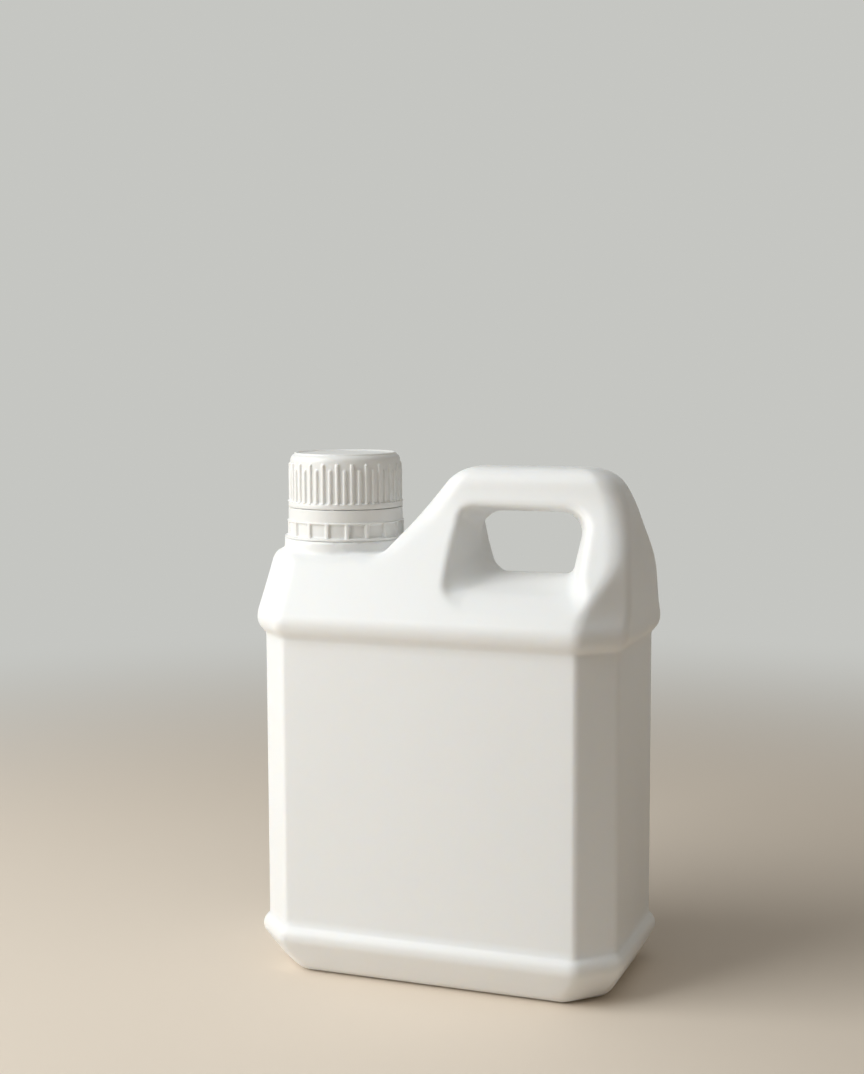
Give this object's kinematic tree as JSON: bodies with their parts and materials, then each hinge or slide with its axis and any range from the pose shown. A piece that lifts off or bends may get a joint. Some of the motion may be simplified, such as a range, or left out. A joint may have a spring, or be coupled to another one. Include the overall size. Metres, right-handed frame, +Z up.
{
  "type": "plastic jerrycan",
  "caption": "Upright blow-moulded jerrycan with cut corners, a moulded-in hollow handle and a ribbed tamper-evident screw cap at one end.",
  "frame": {"origin": "middle of the foot's flat, on the surface the can stands on", "axes": "+X along the can from the neck towards the handle's end, +Y across it towards the back, +Z up"},
  "size_m": [0.132, 0.0746, 0.179],
  "materials": {
    "bottle_plastic": "smooth white high-density polyethylene with a soft sheen",
    "cap_plastic": "injection-moulded white, slightly glossier than the can",
    "liner_foam": "fine foamed polyethylene, matte"
  },
  "bodies": {
    "bottle": {"bottle": "bottle_plastic", "tamper_ring": "cap_plastic"},
    "liner": {"cap_liner": "liner_foam"},
    "cap": {"cap": "cap_plastic"}
  },
  "joints": [
    {"name": "cap_lift", "type": "slide", "parent": "bottle", "child": "liner", "axis": [0, 0, 1], "range_m": [0, 0.02]},
    {"name": "cap_turn", "type": "hinge", "parent": "liner", "child": "cap", "pos_m": [-0.0422, 0, 0.17], "axis": [0, 0, 1], "range_deg": [0, 1440]}
  ],
  "couplings": [
    {"joint": "cap_lift", "follows": "cap_turn", "m_per_rad": 0.0007957}
  ]
}
